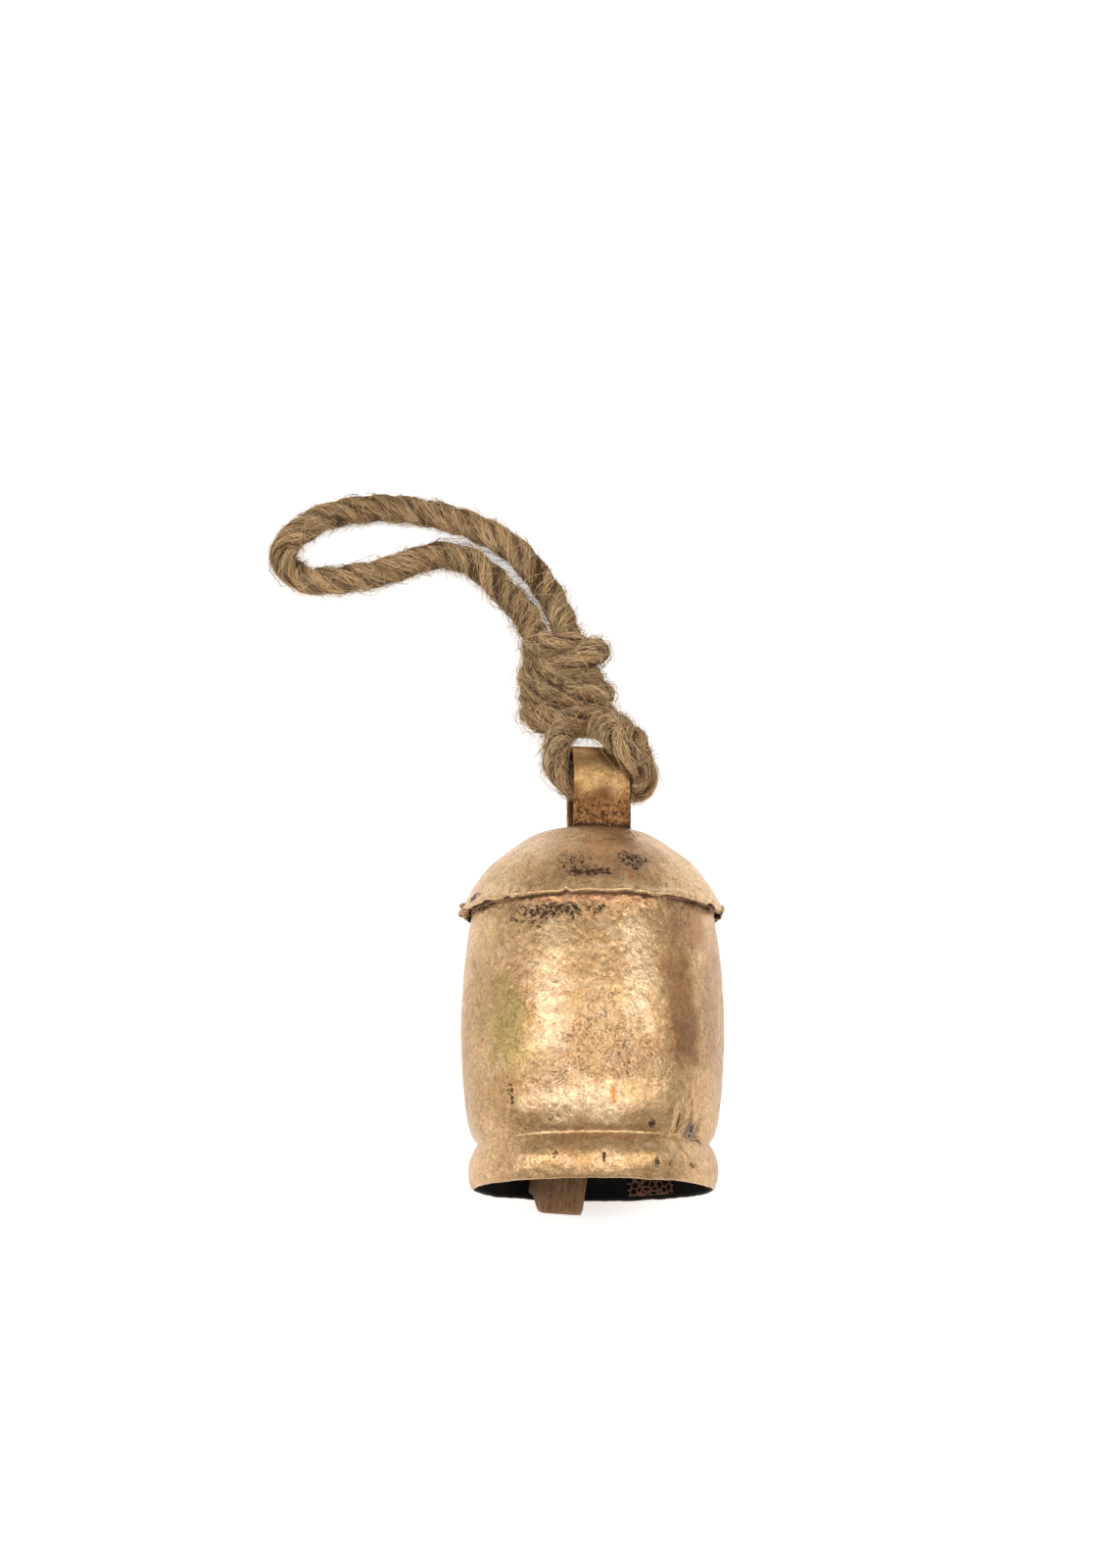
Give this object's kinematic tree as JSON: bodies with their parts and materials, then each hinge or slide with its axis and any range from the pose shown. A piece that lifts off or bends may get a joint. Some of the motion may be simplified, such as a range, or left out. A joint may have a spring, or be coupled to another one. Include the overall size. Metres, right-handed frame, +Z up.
{
  "type": "hanging dinner bell",
  "caption": "Hand-made sheet-metal dinner bell with a domed crown, strap, wooden clapper on a wire link and a knotted rope loop, lying on its side.",
  "frame": {"origin": "on the floor under the middle of the lying bell: centre of the bottom of the bell's own box, without the rope", "axes": "+Z up from the floor that the bell lies on; +Y along the bell's axis from the mouth to the crown and strap, so that +Y turned up is the hanging position; +X to the right seen from the mouth with +Z up"},
  "size_m": [0.163, 0.2662, 0.0902],
  "materials": {
    "aged_brass": "fire-brassed sheet iron, satin, pitted and speckled with soot",
    "strap_brass": "brassed strap, coppery and pitted at its foot",
    "braze": "rough braze, coppery",
    "dark_wire": "blackened iron wire",
    "clapper_wood": "rough sawn, unfinished, dark",
    "jute_rope": "natural jute, three strands, hairy"
  },
  "bodies": {
    "bell": {"bell_body": "aged_brass", "seam_braze": "braze", "crown_cap": "aged_brass", "crown_braze": "braze", "strap_handle": "strap_brass", "clapper_staple": "dark_wire"},
    "link": {"clapper_link": "dark_wire"},
    "clapper": {"clapper_eye": "dark_wire", "clapper_block": "clapper_wood"},
    "rope": {"rope_eye": "jute_rope", "rope_knot": "jute_rope", "rope_loop": "jute_rope"}
  },
  "joints": [
    {"name": "clapper_swing", "type": "hinge", "parent": "bell", "child": "link", "pos_m": [0, 0.0347, 0.0451], "axis": [-1, 0, 0], "range_deg": [0, 27.8]},
    {"name": "clapper_sway", "type": "hinge", "parent": "link", "child": "clapper", "pos_m": [0, 0.02113, 0.04167], "axis": [0, -0.2453, 0.9694], "range_deg": [0, 12]},
    {"name": "rope_swing", "type": "hinge", "parent": "bell", "child": "rope", "pos_m": [0.0022, 0.0701, 0.0451], "axis": [0.9934, 0, -0.1149], "range_deg": [0, 36]}
  ]
}
